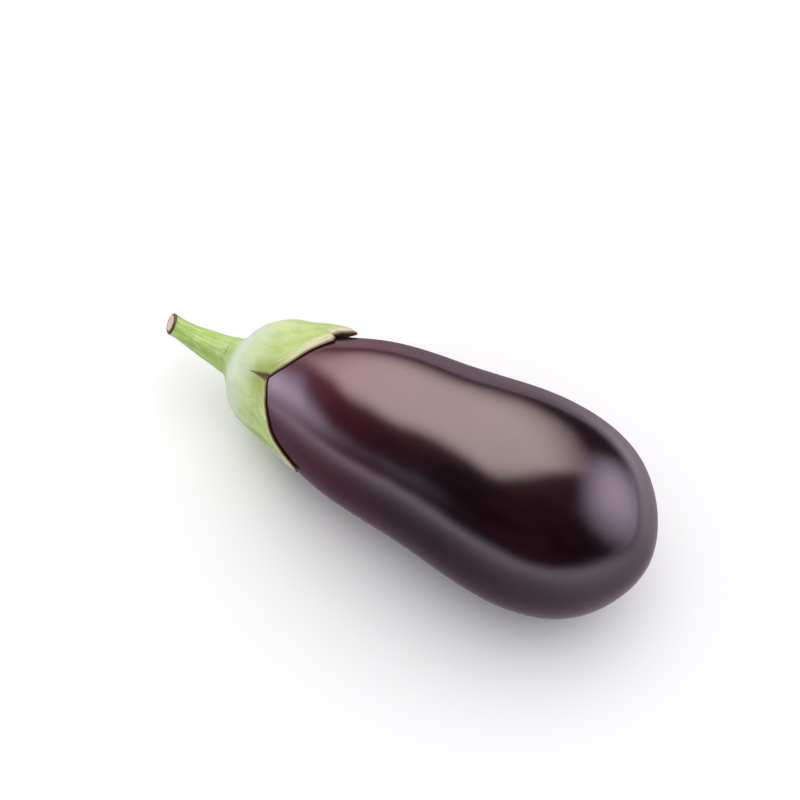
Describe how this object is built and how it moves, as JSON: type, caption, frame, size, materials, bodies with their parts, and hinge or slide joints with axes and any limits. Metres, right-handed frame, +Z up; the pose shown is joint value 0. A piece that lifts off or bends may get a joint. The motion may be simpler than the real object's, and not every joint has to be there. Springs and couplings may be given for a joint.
{
  "type": "eggplant",
  "caption": "Whole glossy purple-black eggplant lying on its side, with its green pointed calyx and short cut stem.",
  "frame": {"origin": "on the surface the eggplant lies on, under the middle of its bounding box", "axes": "+X runs along the length, towards the blossom end; the stem is at -X; +Z is up as it lies at rest"},
  "size_m": [0.2452, 0.0894, 0.0883],
  "materials": {
    "skin": "smooth waxy skin, glossy",
    "calyx": "dull fleshy leaf",
    "stem": "dull ridged stalk"
  },
  "bodies": {
    "root": {"fruit": "skin", "calyx": "calyx", "stem": "stem"}
  },
  "joints": []
}
